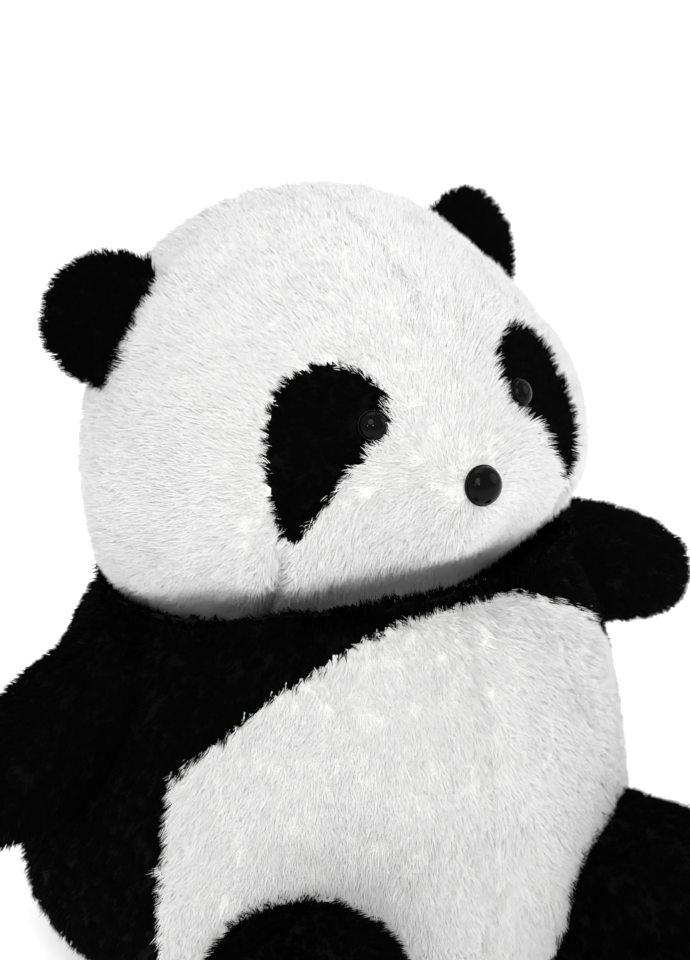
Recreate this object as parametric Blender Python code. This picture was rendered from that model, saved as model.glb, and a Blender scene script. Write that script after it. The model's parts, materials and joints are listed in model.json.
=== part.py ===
"""A sitting plush panda: sewn skins over stuffing, with its limbs, ears and head on soft joints.

Metres, +Z up.  The panda faces -Y and its left side is +X.  The origin is on the ground, at the middle
of the flat seat.  Every soft form is star shaped about its own pivot: its surface lies at a radius that
a formula gives for each direction.  So the room that a moving piece needs is the largest of those radii
over its range of motion, and its neighbours are cut back to that.
"""

from math import atan2, cos, pi, radians, sin, tan

import bmesh
import bpy
import numpy as np
from mathutils import Matrix, Vector

# Driving dimensions ---------------------------------------------------------------------------
SKIN = 0.003            # a sewn panel with its pile pressed flat
SEAM_GAP = 0.0003       # between two panels that touch
LINING_GAP = 0.0006     # between a panel and the stuffing behind it
MOTION_GAP = 0.004      # between a moving form and the room cut for it
HEAD_GAP = 0.0055       # between the head and the bowl cut for it
SOCKET_GAP = 0.0012     # between two faceted balls that turn in each other

HEAD_PIVOT = (0.0, 0.0, 0.375)
HEAD_HALF = (0.1534, 0.1414, 0.1380)      # half width, half depth, half height
# Swellings of the head: direction from its centre, height, spread in radians, and if it is mirrored
HEAD_SWELLINGS = (
    ("jowl", (0.80, 0.10, -0.55), 0.0293, 0.45, True),
    ("cheek", (0.75, -0.60, -0.20), 0.0184, 0.40, True),
    ("temple", (0.65, -0.20, 0.70), -0.0132, 0.50, True),
    ("back_temple", (0.60, 0.50, 0.60), 0.0059, 0.50, True),
    ("chin", (0.0, -0.55, -0.80), -0.0075, 0.40, False),
    ("muzzle", (0.0, -1.0, -0.09), 0.0280, 0.33, False),
)
HEAD_TURN = radians(20)
HEAD_NOD = (radians(-10), radians(12))
NECK_OPENING = radians(34)                # half angle, seen from the head's pivot
NECK_PLUG = radians(20)
NECK_INNER = 0.1285                       # the neck plug's upper and lower radius about the pivot
NECK_OUTER = 0.1490

CHEEK_SEAM_NORMAL = (0.932, 0.361, 0.0)   # the upright plane of the seam that runs down from each patch
CHEEK_SEAM_OFFSET = 0.0555
EAR_LINE_Y = 0.045                        # the seam between the face and the back of the head

PATCH_CENTRE = (0.078, -0.119, 0.024)     # direction of an eye patch's middle, from the head's pivot
# Teardrop of the eye patch: distance outwards and upwards from its middle
PATCH_OUTLINE = (
    (0.000, 0.044), (0.023, 0.034), (0.034, 0.006), (0.031, -0.034), (0.019, -0.060),
    (0.004, -0.044), (-0.018, -0.016), (-0.037, 0.006), (-0.035, 0.029), (-0.019, 0.041),
)
PATCH_STEPS = 3                           # points of the smooth outline per point above

EYE_DIRECTION = (0.053, -0.131, 0.034)
EYE_RADIUS = 0.009
EYE_DOME = 0.0065
NOSE_DIRECTION = (0.0, -0.173, -0.003)
NOSE_HALF_WIDTH = 0.013
NOSE_HALF_HEIGHT = 0.0125
NOSE_DOME = 0.010
STEM_RADIUS = 0.0025
STEM_LENGTH = 0.018
STEM_CLEARANCE = 0.0005
BUTTON_GAP = 0.001      # the pile under an eye or the nose
WASHER_RADIUS = 0.010
WASHER_THICKNESS = 0.002
WASHER_DEPTH = 0.0130   # from the pile down to the washer, behind the skin

EAR_PIVOT = (0.126, 0.032, 0.065)         # from the head's pivot
EAR_ALONG = (0.862, 0.391, 0.358)
EAR_BASE = (-0.575, 0.070, 0.815)
EAR_REACH = 0.050
EAR_HALF_WIDTH = 0.042
EAR_HALF_THICKNESS = 0.012
EAR_FOLD = (radians(-20), radians(35))

BODY_HALF_WIDTH = 0.205
BODY_HALF_DEPTH = 0.194
BODY_WIDEST_Z = 0.090
BODY_RISE = 0.248                         # from the widest height up to the crown of the form
BODY_DROP = 0.097                         # from the widest height down to the lowest point of the form
BODY_POWER = 2.9                          # of the profile, from the front to the side seams
BACK_POWER = 2.1                          # of the rounder profile behind, above the widest height
BACK_START = radians(120)                 # heading where that profile is reached
BODY_SIDE_TAPER = 0.60                    # narrowing of the width per metre above the widest height
SIDE_SEAM = radians(64)                   # from the front, round the upright axis
YOKE_FRONT_Z = 0.288                      # lower edge of the chest yoke at the front
YOKE_SIDE_DROP = 0.101                    # how much lower that edge is at the side seam
YOKE_POWER = 2.2
SEAT_RADIUS = 0.108
PELLET_RADIUS = 0.082
PELLET_HEIGHT = 0.045

# The toy sits with its left arm a little higher than its right one
ARM_PIVOT = {1: (0.158, 0.0, 0.234), -1: (0.156, 0.0, 0.219)}
ARM_DROOP = {1: radians(18), -1: radians(30)}
ARM_REACH = 0.142
ARM_RADIUS = 0.0415
ARM_ROOT = 0.0340
ARM_RAISE = (radians(-8), radians(40))
ARM_SWING = (radians(-20), radians(20))
TAPE_INNER = 0.0295
TAPE_OUTER = 0.0325
TAPE_ANGLES = (radians(28), radians(58))

LEG_PIVOT = (0.115, -0.150, 0.0625)
LEG_SPLAY = radians(20)
LEG_REACH = 0.185
LEG_SOLE = 0.172                          # distance of the flat sole from the pivot
LEG_RADIUS = 0.0620
LEG_ROOT = 0.045
LEG_LIFT = (0.0, radians(25))

TAIL_PIVOT = (0.0, 0.186, 0.078)
TAIL_RISE = radians(18)
TAIL_REACH = 0.048
TAIL_RADIUS = 0.026
TAIL_LIFT = (radians(-12), radians(25))

FAR = 0.8                                 # larger than anything here
HEAD_MESH = (24, 12)                      # segments and rings of the forms
BALL_MESH = (20, 14)
ROOM_MESH = (22, 14)
LIMB_MESH = (16, 10)
EAR_MESH = (12, 8)

# Materials ------------------------------------------------------------------------------------
FINISHES = {
    "white_plush": ((0.86, 0.86, 0.85), 0.95),
    "black_plush": ((0.012, 0.012, 0.013), 0.95),
    "black_gloss_plastic": ((0.006, 0.006, 0.007), 0.08),
    "washer_plastic": ((0.78, 0.78, 0.76), 0.45),
    "stuffing": ((0.80, 0.79, 0.77), 0.98),
    "pellet_cloth": ((0.55, 0.52, 0.46), 0.90),
    "seam_tape": ((0.20, 0.20, 0.21), 0.85),
}


def clear_scene():
    for old in list(bpy.data.objects):
        bpy.data.objects.remove(old)


def make_material(name):
    colour, roughness = FINISHES[name]
    material = bpy.data.materials.new(name)
    material.use_nodes = True
    shader = material.node_tree.nodes["Principled BSDF"]
    shader.inputs["Base Color"].default_value = (*colour, 1.0)
    shader.inputs["Roughness"].default_value = roughness
    shader.inputs["Metallic"].default_value = 0.0
    return material


# Small vector helpers -------------------------------------------------------------------------
def unit(vector):
    vector = np.asarray(vector, float)
    return vector / np.linalg.norm(vector)


def mirrored(vector, side):
    """The same vector on the panda's left (side 1) or right (side -1)."""
    return np.array((side * vector[0], vector[1], vector[2]), float)


def rotation(axis, angle):
    return np.array(Matrix.Rotation(angle, 3, Vector(axis)))


# Star shaped forms ----------------------------------------------------------------------------
class Egg:
    """A limb-like form: a rounded reach on one side of its pivot and a short root on the other.

    Its radius in a direction comes from the superellipse (a / reach)^p + (c / half)^p = 1, where a is
    the share of the direction along the limb and c the share across it; the root side is elliptical.
    """

    def __init__(self, pivot, along, across, reach, root, half_across, half_up, power):
        self.pivot = np.asarray(pivot, float)
        self.along = unit(along)
        across = np.asarray(across, float)
        self.across = unit(across - self.along * (across @ self.along))
        self.up = np.cross(self.along, self.across)
        self.reach = reach
        self.root = root
        self.halves = (half_across, half_up)
        self.power = power

    def axes(self):
        return np.stack((self.across, self.up, self.along), axis=1)

    def spread(self, local):
        """Directions of a ball, drawn towards the limb's end so that the rings lie evenly along it."""
        slimness = np.where(local[:, 2] > 0, max(self.halves) / self.reach, 1.0)
        drawn = local * np.stack((slimness, slimness, np.ones(len(local))), axis=1)
        return drawn / np.linalg.norm(drawn, axis=1)[:, None]

    def radius(self, directions, inset=0.0):
        a = directions @ self.along
        c = directions @ self.across / (self.halves[0] - inset)
        u = directions @ self.up / (self.halves[1] - inset)
        cross = np.sqrt(c * c + u * u)
        lengthwise = np.where(a > 0, a / (self.reach - inset), -a / (self.root - inset))
        power = np.where(a > 0, self.power, 2.0)
        return (lengthwise ** power + cross ** power) ** (-1 / power)


class Head:
    """The head: an ellipsoid with smooth swellings, each a bell curve over the angle from its middle."""

    pivot = np.asarray(HEAD_PIVOT, float)

    def axes(self):
        return np.eye(3)

    def spread(self, local):
        return local

    def radius(self, directions, inset=0.0):
        radius = 1 / np.sqrt(((directions / HEAD_HALF) ** 2).sum(axis=1))
        for _, middle, height, spread, both in HEAD_SWELLINGS:
            for side in ((1, -1) if both else (1,)):
                angle_squared = 2 - 2 * directions @ unit(mirrored(middle, side))
                radius = radius + height * np.exp(-angle_squared / spread ** 2)
        return radius - inset


def swept_radius(form, directions, turns, grow):
    """The largest radius that the form reaches in each direction while it makes these turns."""
    return np.max([form.radius(directions @ turn) for turn in turns], axis=0) + grow


def directions_of(bm):
    return np.array([vertex.co.normalized() for vertex in bm.verts])


def star_mesh(form, radius_of, segments, rings, drawn=True):
    """A closed triangle mesh round the form's pivot, at radius_of(world directions)."""
    bm = bmesh.new()
    bmesh.ops.create_uvsphere(bm, u_segments=segments, v_segments=rings, radius=1.0)
    local = directions_of(bm)
    world = (form.spread(local) if drawn else local) @ form.axes().T
    points = form.pivot + world * radius_of(world)[:, None]
    for vertex, point in zip(bm.verts, points):
        vertex.co = point
    return finished(bm)


def finished(bm, turn_outwards=False):
    if turn_outwards:
        bmesh.ops.recalc_face_normals(bm, faces=bm.faces)
    bmesh.ops.triangulate(bm, faces=bm.faces)
    mesh = bpy.data.meshes.new("form")
    bm.to_mesh(mesh)
    bm.free()
    return mesh


# Cutting --------------------------------------------------------------------------------------
def shaped(mesh, *cuts):
    """The mesh after each (operation, cutter mesh) in turn, by exact Booleans."""
    work = bpy.data.objects.new("work", mesh)
    bpy.context.collection.objects.link(work)
    cutters = []
    for operation, cutter_mesh in cuts:
        cutter = bpy.data.objects.new("cutter", cutter_mesh)
        bpy.context.collection.objects.link(cutter)
        cutters.append(cutter)
        modifier = work.modifiers.new("cut", "BOOLEAN")
        modifier.operation = operation
        modifier.solver = "EXACT"
        modifier.object = cutter
    evaluated = work.evaluated_get(bpy.context.evaluated_depsgraph_get())
    result = bpy.data.meshes.new_from_object(evaluated)
    for helper in (work, *cutters):
        bpy.data.objects.remove(helper)
    return result


def cut(*cutters):
    return [("DIFFERENCE", cutter) for cutter in cutters]


def keep(*regions):
    return [("INTERSECT", region) for region in regions]


def half_space(normal, offset):
    """A big block that fills the space beyond the plane normal . p = offset."""
    normal = Vector(unit(normal))
    bm = bmesh.new()
    bmesh.ops.create_cube(bm, size=2 * FAR)
    turn = normal.to_track_quat("Z", "Y").to_matrix().to_4x4()
    bmesh.ops.transform(bm, matrix=Matrix.Translation(normal * (offset + FAR)) @ turn, verts=bm.verts)
    return finished(bm)


def cone_region(pivot, half_angle, reach, axis=(0, 0, -1)):
    """A cone with its tip on the pivot, opening along the axis."""
    bm = bmesh.new()
    bmesh.ops.create_cone(
        bm, cap_ends=True, segments=20, radius1=reach * tan(half_angle), radius2=0.0, depth=reach
    )
    bmesh.ops.translate(bm, verts=bm.verts, vec=(0, 0, -reach / 2))
    turn = Vector((0, 0, -1)).rotation_difference(Vector(unit(axis))).to_matrix().to_4x4()
    bmesh.ops.transform(bm, matrix=Matrix.Translation(Vector(pivot)) @ turn, verts=bm.verts)
    bmesh.ops.remove_doubles(bm, verts=bm.verts, dist=1e-7)
    return finished(bm)


def round_bar(start, direction, radius, length, segments=16):
    """A solid round bar from the start point along the direction."""
    direction = Vector(unit(direction))
    bm = bmesh.new()
    bmesh.ops.create_cone(
        bm, cap_ends=True, segments=segments, radius1=radius, radius2=radius, depth=length
    )
    turn = direction.to_track_quat("Z", "Y").to_matrix().to_4x4()
    place = Matrix.Translation(Vector(start) + direction * length / 2)
    bmesh.ops.transform(bm, matrix=place @ turn, verts=bm.verts)
    return finished(bm)


def smooth_outline(points, steps):
    """A closed Catmull-Rom curve through the points."""
    count = len(points)
    curve = []
    for index in range(count):
        p0, p1, p2, p3 = (np.array(points[(index + shift) % count]) for shift in (-1, 0, 1, 2))
        for step in range(steps):
            t = step / steps
            curve.append(
                0.5 * (2 * p1 + (p2 - p0) * t + (2 * p0 - 5 * p1 + 4 * p2 - p3) * t ** 2
                       + (3 * p1 - p0 - 3 * p2 + p3) * t ** 3)
            )
    return curve


def patch_region(side, grow):
    """A prism through the head's skin in the shape of an eye patch, grown all round."""
    outward = unit(mirrored(PATCH_CENTRE, side))
    across = unit(np.cross((0, 0, 1), outward)) * side
    up = np.cross(outward, across) * side
    outline = np.array(smooth_outline(PATCH_OUTLINE, PATCH_STEPS))
    edges = np.roll(outline, -1, axis=0) - np.roll(outline, 1, axis=0)
    normals = np.stack((-edges[:, 1], edges[:, 0]), axis=1)
    normals /= np.linalg.norm(normals, axis=1)[:, None]
    outline = outline + grow * normals
    middle = np.asarray(HEAD_PIVOT) + outward * 0.09
    bm = bmesh.new()
    ring = [bm.verts.new(middle + across * x + up * y) for x, y in outline]
    face = bm.faces.new(ring)
    top = bmesh.ops.extrude_face_region(bm, geom=[face])["geom"]
    moved = [item for item in top if isinstance(item, bmesh.types.BMVert)]
    bmesh.ops.translate(bm, verts=moved, vec=Vector(outward * 0.12))
    return finished(bm, turn_outwards=True)


# The body's form ------------------------------------------------------------------------------
def body_point(direction, inset):
    """Pear-like form: a superellipse profile turned round an oval, narrower at the shoulders.

    The direction's height sets the place on the profile and its heading the place round the oval.
    """
    x, y, z = direction
    level = np.clip(z, -1, 1)
    reach = (BODY_RISE if level > 0 else BODY_DROP) - inset
    behind = np.clip((abs(atan2(x, -y)) - SIDE_SEAM) / (BACK_START - SIDE_SEAM), 0, 1)
    share = 2 / (BODY_POWER + (BACK_POWER - BODY_POWER) * behind * (level > 0))
    height = BODY_WIDEST_Z + np.sign(level) * reach * abs(level) ** share
    across = max(0.0, 1 - level * level) ** 0.5
    size = across ** share
    flat = np.hypot(x, y) or 1.0
    taper = 1 - BODY_SIDE_TAPER * max(0.0, height - BODY_WIDEST_Z)
    return Vector((
        (BODY_HALF_WIDTH - inset) * size * taper * x / flat,
        (BODY_HALF_DEPTH - inset) * size * y / flat,
        height,
    ))


def body_mesh(inset, segments=24, rings=12):
    bm = bmesh.new()
    bmesh.ops.create_uvsphere(bm, u_segments=segments, v_segments=rings, radius=1.0)
    for vertex in bm.verts:
        vertex.co = body_point(vertex.co.normalized(), inset)
    return shaped(finished(bm), *keep(half_space((0, 0, 1), inset)))


def yoke_edge(heading):
    """Height of the chest yoke's lower edge at a heading from the front."""
    return YOKE_FRONT_Z - YOKE_SIDE_DROP * (abs(heading) / SIDE_SEAM) ** YOKE_POWER


def sector(start, stop, low, high, steps=14, inner=0.01, outer=FAR):
    """The room between two headings round the upright axis and two heights that follow the heading."""
    bm = bmesh.new()
    loops = []
    for heading in np.linspace(start, stop, steps + 1):
        out = Vector((sin(heading), -cos(heading), 0))
        corners = ((inner, low), (outer, low), (outer, high), (inner, high))
        loops.append([bm.verts.new(out * r + Vector((0, 0, level(heading)))) for r, level in corners])
    for before, after in zip(loops, loops[1:]):
        for index in range(4):
            following = (index + 1) % 4
            bm.faces.new((before[index], before[following], after[following], after[index]))
    bm.faces.new(loops[0])
    bm.faces.new(reversed(loops[-1]))
    return finished(bm, turn_outwards=True)


# Objects --------------------------------------------------------------------------------------
class Assembly:
    def __init__(self):
        self.materials = {name: make_material(name) for name in FINISHES}
        self.pivots = {}

    def pivot(self, name, place, parent=None):
        """An empty on a joint, which carries the pieces that move about it."""
        empty = bpy.data.objects.new(name, None)
        bpy.context.collection.objects.link(empty)
        empty.location = Vector(place)
        if parent:
            empty.parent = self.pivots[parent]
            empty.location = Vector(place) - self.world(parent)
        self.pivots[name] = empty
        bpy.context.view_layer.update()

    def world(self, name):
        return self.pivots[name].matrix_world.translation.copy() if name else Vector((0, 0, 0))

    def piece(self, name, mesh, material, pivot=None, smooth=60):
        """A named piece whose origin is on its pivot."""
        place = self.world(pivot)
        mesh.transform(Matrix.Translation(-place))
        mesh.name = name
        mesh.materials.clear()
        mesh.materials.append(self.materials[material])
        mesh.shade_smooth()
        mesh.set_sharp_from_angle(angle=radians(smooth))
        made = bpy.data.objects.new(name, mesh)
        bpy.context.collection.objects.link(made)
        if pivot:
            made.parent = self.pivots[pivot]
        return made


# Forms of the moving pieces -------------------------------------------------------------------
HEAD = Head()


def arm_form(side):
    along = mirrored((cos(ARM_DROOP[side]), 0, -sin(ARM_DROOP[side])), side)
    return Egg(
        mirrored(ARM_PIVOT[side], side), along, (0, 1, 0), ARM_REACH, ARM_ROOT, ARM_RADIUS, ARM_RADIUS, 3.2
    )


def leg_form(side):
    along = mirrored((sin(LEG_SPLAY), -cos(LEG_SPLAY), 0), side)
    return Egg(
        mirrored(LEG_PIVOT, side), along, (0, 0, 1), LEG_REACH, LEG_ROOT, LEG_RADIUS, LEG_RADIUS, 4.0
    )


def ear_form(side):
    pivot = np.asarray(HEAD_PIVOT) + mirrored(EAR_PIVOT, side)
    along = mirrored(EAR_ALONG, side)
    return Egg(
        pivot, along, mirrored(EAR_BASE, side), EAR_REACH, 0.010, EAR_HALF_WIDTH, EAR_HALF_THICKNESS, 2.4
    )


def tail_form():
    along = (0, cos(TAIL_RISE), sin(TAIL_RISE))
    return Egg(TAIL_PIVOT, along, (1, 0, 0), TAIL_REACH, 0.020, TAIL_RADIUS, TAIL_RADIUS, 2.4)


def turns_about(axis, limits, count=5):
    return [rotation(axis, angle) for angle in np.linspace(*limits, count)]


def combined(first, second):
    return [one @ other for one in first for other in second]


def arm_turns(form):
    forward = np.array((0.0, -1.0, 0.0))
    upward = np.cross(np.cross(form.along, (0, 0, 1)), form.along)
    raises = turns_about(np.cross(form.along, upward), ARM_RAISE)
    swings = turns_about(np.cross(form.along, forward), ARM_SWING)
    return combined(raises, swings)


def ear_turns(form):
    return turns_about(ear_axis(form), EAR_FOLD)


def ear_axis(form):
    """Turning about this axis folds the ear forwards."""
    return np.cross(form.along, np.cross(form.across, form.along) * -np.sign(form.pivot[0]))


def leg_turns(form):
    return turns_about(np.cross(form.along, (0, 0, 1)), LEG_LIFT)


def tail_turns(form):
    return turns_about((1, 0, 0), TAIL_LIFT)


def head_turns():
    turns = turns_about((0, 0, 1), (-HEAD_TURN, HEAD_TURN), 7)
    nods = turns_about((1, 0, 0), HEAD_NOD)
    return combined(turns, nods)


def room_for(form, turns, least=0.0):
    return star_mesh(
        form,
        lambda world: np.maximum(swept_radius(form, world, turns, MOTION_GAP), least),
        *ROOM_MESH,
        drawn=False,
    )


# Building -------------------------------------------------------------------------------------
def skin_and_filling(form, segments, rings, skin=SKIN):
    """The outer form, the hollow inside its skin, and the stuffing that fills that."""
    outer = star_mesh(form, form.radius, segments, rings)
    hollow = star_mesh(form, lambda world: form.radius(world, skin), segments, rings)
    filling = star_mesh(form, lambda world: form.radius(world, skin + LINING_GAP), segments, rings)
    return shaped(outer, *cut(hollow)), filling


def beyond(form, distance):
    """The room further along a limb than the distance from its pivot."""
    return half_space(form.along, float(form.along @ form.pivot) + distance)


def before(form, distance):
    return half_space(-form.along, -float(form.along @ form.pivot) - distance)


def on_side(form, axis, sign):
    """The room on one side of the plane through the form's pivot, half a seam away from it."""
    axis = np.asarray(axis, float) * sign
    return half_space(axis, float(axis @ form.pivot) + SEAM_GAP / 2)


def surface_point(direction, depth=0.0):
    """A point of the head's surface in a direction, or that far below it, and the normal there."""
    tilt = 0.03
    middle = unit(direction)
    side = unit(np.cross((0, 0, 1), middle))
    near = np.array([middle, unit(middle + tilt * side), unit(middle + tilt * np.cross(middle, side))])
    points = HEAD.pivot + near * HEAD.radius(near)[:, None]
    normal = unit(np.cross(points[1] - points[0], points[2] - points[0]))
    return points[0] - normal * depth, normal


def dome_button(direction, half_width, half_height, dome, segments=20):
    """A domed button with its stem: a quarter ellipse turned round the direction, wider than it is high."""
    surface, outward = surface_point(direction, -BUTTON_GAP)
    place, outward = Vector(surface), Vector(outward)
    bm = bmesh.new()
    profile = [(0.0, -STEM_LENGTH), (STEM_RADIUS, -STEM_LENGTH), (STEM_RADIUS, 0.0), (half_width, 0.0)]
    for step in range(1, 6):
        angle = step * pi / 12
        profile.append((half_width * cos(angle), dome * (0.12 + 0.88 * sin(angle))))
    profile.append((0.0, dome))
    verts = [bm.verts.new((r, 0, h)) for r, h in profile]
    edges = [bm.edges.new(pair) for pair in zip(verts, verts[1:])]
    bmesh.ops.spin(
        bm, geom=verts + edges, cent=(0, 0, 0), axis=(0, 0, 1), angle=2 * pi, steps=segments, use_merge=True
    )
    bmesh.ops.remove_doubles(bm, verts=bm.verts, dist=1e-6)
    for vertex in bm.verts:
        if vertex.co.z > -1e-6 and vertex.co.xy.length > STEM_RADIUS * 1.2:
            vertex.co.y *= half_height / half_width
    turn = outward.to_track_quat("Z", "Y").to_matrix().to_4x4()
    bmesh.ops.transform(bm, matrix=Matrix.Translation(place) @ turn, verts=bm.verts)
    return finished(bm, turn_outwards=True)


def lock_washer(direction):
    """The washer that grips a stem behind the skin."""
    start, outward = surface_point(direction, WASHER_DEPTH + WASHER_THICKNESS)
    disc = round_bar(start, outward, WASHER_RADIUS, WASHER_THICKNESS, 20)
    bore = round_bar(start - outward * 0.01, outward, STEM_RADIUS + SEAM_GAP, 0.03)
    return shaped(disc, *cut(bore))


def stem_bore(direction):
    start, outward = surface_point(direction, 0.03)
    return round_bar(start, outward, STEM_RADIUS + STEM_CLEARANCE, 0.05)


def washer_room(direction):
    depth = STEM_LENGTH + 0.002
    start, outward = surface_point(direction, depth)
    return round_bar(start, outward, WASHER_RADIUS + 0.001, depth + 0.01, 20)


def build_head(assembly, ears):
    assembly.pivot("head_nod_pivot", HEAD_PIVOT, "head_turn_pivot")
    skin, filling = skin_and_filling(HEAD, *HEAD_MESH)
    stems = [mirrored(EYE_DIRECTION, side) for side in (1, -1)] + [np.array(NOSE_DIRECTION)]
    ear_rooms = [room_for(ear, ear_turns(ear)) for ear in ears.values()]
    opening = cone_region(HEAD_PIVOT, NECK_OPENING, 0.22)
    skin = shaped(skin, *cut(opening, *ear_rooms, *(stem_bore(stem) for stem in stems)))
    neck_ball = star_mesh(HEAD, lambda world: np.full(len(world), NECK_INNER - SOCKET_GAP), *BALL_MESH)
    below_neck_ball = shaped(opening.copy(), *cut(neck_ball))
    filling = shaped(filling, *cut(below_neck_ball, *ear_rooms, *(washer_room(stem) for stem in stems)))
    assembly.piece("head_stuffing", filling, "stuffing", "head_nod_pivot")

    centre, front, rear = SEAM_GAP / 2, EAR_LINE_Y - SEAM_GAP / 2, EAR_LINE_Y + SEAM_GAP / 2
    wider_patches = [patch_region(side, SEAM_GAP) for side in (1, -1)]
    for side, word in ((1, "left"), (-1, "right")):
        half = half_space((side, 0, 0), centre)
        in_front = half_space((0, -1, 0), -front)
        behind = half_space((0, 1, 0), rear)
        normal = mirrored(CHEEK_SEAM_NORMAL, side)
        inner = half_space(-normal, -CHEEK_SEAM_OFFSET + SEAM_GAP / 2)
        outer = half_space(normal, CHEEK_SEAM_OFFSET + SEAM_GAP / 2)
        pieces = {
            f"{word}_face_panel": shaped(skin.copy(), *keep(half, in_front, inner), *cut(*wider_patches)),
            f"{word}_cheek_panel": shaped(skin.copy(), *keep(half, in_front, outer), *cut(*wider_patches)),
            f"{word}_back_head_panel": shaped(skin.copy(), *keep(half, behind)),
        }
        for name, mesh in pieces.items():
            assembly.piece(name, mesh, "white_plush", "head_nod_pivot")
        patch = shaped(skin.copy(), *keep(patch_region(side, 0.0)))
        assembly.piece(f"{word}_eye_patch", patch, "black_plush", "head_nod_pivot")
        direction = mirrored(EYE_DIRECTION, side)
        eye = dome_button(direction, EYE_RADIUS, EYE_RADIUS, EYE_DOME)
        assembly.piece(f"{word}_eye", eye, "black_gloss_plastic", "head_nod_pivot", 40)
        assembly.piece(f"{word}_eye_washer", lock_washer(direction), "washer_plastic", "head_nod_pivot", 40)
    nose = dome_button(NOSE_DIRECTION, NOSE_HALF_WIDTH, NOSE_HALF_HEIGHT, NOSE_DOME, 24)
    assembly.piece("nose", nose, "black_gloss_plastic", "head_nod_pivot", 40)
    assembly.piece("nose_washer", lock_washer(NOSE_DIRECTION), "washer_plastic", "head_nod_pivot", 40)


def build_ears(assembly, ears):
    for word, form in ears.items():
        pivot = f"{word}_ear_pivot"
        assembly.pivot(pivot, form.pivot, "head_nod_pivot")
        skin, filling = skin_and_filling(form, *EAR_MESH, 0.0025)
        for panel, sign in (("front", -1), ("back", 1)):
            region = on_side(form, form.up * np.sign(form.up[1]), sign)
            mesh = shaped(skin.copy(), *keep(region, beyond(form, 0.002)))
            assembly.piece(f"{word}_ear_{panel}_panel", mesh, "black_plush", pivot)
        assembly.piece(f"{word}_ear_wadding", filling, "stuffing", pivot)


def build_neck(assembly):
    assembly.pivot("head_turn_pivot", HEAD_PIVOT)
    ball = star_mesh(HEAD, lambda world: np.full(len(world), NECK_OUTER), *BALL_MESH)
    hollow = star_mesh(HEAD, lambda world: np.full(len(world), NECK_INNER + SEAM_GAP), *BALL_MESH)
    plug = shaped(ball, *cut(hollow), *keep(cone_region(HEAD_PIVOT, NECK_PLUG, 0.22)))
    assembly.piece("neck_stuffing", plug, "stuffing", "head_turn_pivot")


def head_room():
    """The head's swept form, and the neck plug's own place below it."""
    def radius_of(world):
        swept = swept_radius(HEAD, world, head_turns(), HEAD_GAP)
        near_neck = world[:, 2] < -cos(NECK_PLUG + radians(10))
        return np.where(near_neck, np.maximum(swept, NECK_OUTER + MOTION_GAP), swept)
    return star_mesh(HEAD, radius_of, *BALL_MESH)


def build_body(assembly, limbs, tail):
    rooms = [head_room()]
    for arm, leg in limbs.values():
        rooms.append(room_for(arm, arm_turns(arm), TAPE_OUTER + SOCKET_GAP))
        rooms.append(room_for(leg, leg_turns(leg)))
    rooms.append(room_for(tail, tail_turns(tail)))

    skin = shaped(body_mesh(0.0), *cut(body_mesh(SKIN)))
    skin = shaped(skin, *cut(*(room.copy() for room in rooms)))
    low, high = (lambda heading: -0.05), (lambda heading: 0.5)
    half_gap = SEAM_GAP / 2 / BODY_HALF_DEPTH
    seat_plug = round_bar((0, 0, -0.02), (0, 0, 1), SEAT_RADIUS, 0.05, 36)
    seat_hole = round_bar((0, 0, -0.02), (0, 0, 1), SEAT_RADIUS + SEAM_GAP, 0.05, 36)
    wall = shaped(skin.copy(), *cut(seat_hole))
    yoke_room = sector(-SIDE_SEAM - radians(4), SIDE_SEAM + radians(4), yoke_edge, high, 40, 0.10, 0.26)
    grown_yoke_room = yoke_room.copy()
    grown_yoke_room.transform(Matrix.Translation((0, 0, -SEAM_GAP)))
    whole_front = sector(-SIDE_SEAM + half_gap, SIDE_SEAM - half_gap, low, high)
    assembly.piece("chest_yoke", shaped(wall.copy(), *keep(yoke_room, whole_front)), "black_plush")
    for side, word in ((1, "left"), (-1, "right")):
        front = sector(side * half_gap, side * (SIDE_SEAM - half_gap), low, high)
        rear = sector(side * (SIDE_SEAM + half_gap), side * (pi - half_gap), low, high)
        belly = shaped(wall.copy(), *keep(front), *cut(grown_yoke_room))
        assembly.piece(f"{word}_belly_panel", belly, "white_plush")
        assembly.piece(f"{word}_back_panel", shaped(wall.copy(), *keep(rear)), "black_plush")
    assembly.piece("seat_panel", shaped(skin.copy(), *keep(seat_plug)), "black_plush")

    floor = SKIN + LINING_GAP
    pellet = Egg((0, 0, floor), (0, 0, 1), (1, 0, 0), PELLET_HEIGHT, 0.02, PELLET_RADIUS, PELLET_RADIUS, 2.4)
    above = half_space((0, 0, 1), floor + SEAM_GAP)
    bag = shaped(star_mesh(pellet, pellet.radius, *LIMB_MESH), *keep(above))
    pocket = star_mesh(pellet, lambda world: pellet.radius(world) + 0.001, *LIMB_MESH)
    stuffing = shaped(body_mesh(SKIN + LINING_GAP), *cut(pocket, *rooms))
    assembly.piece("body_stuffing", stuffing, "stuffing")
    assembly.piece("pellet_bag", bag, "pellet_cloth")


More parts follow.
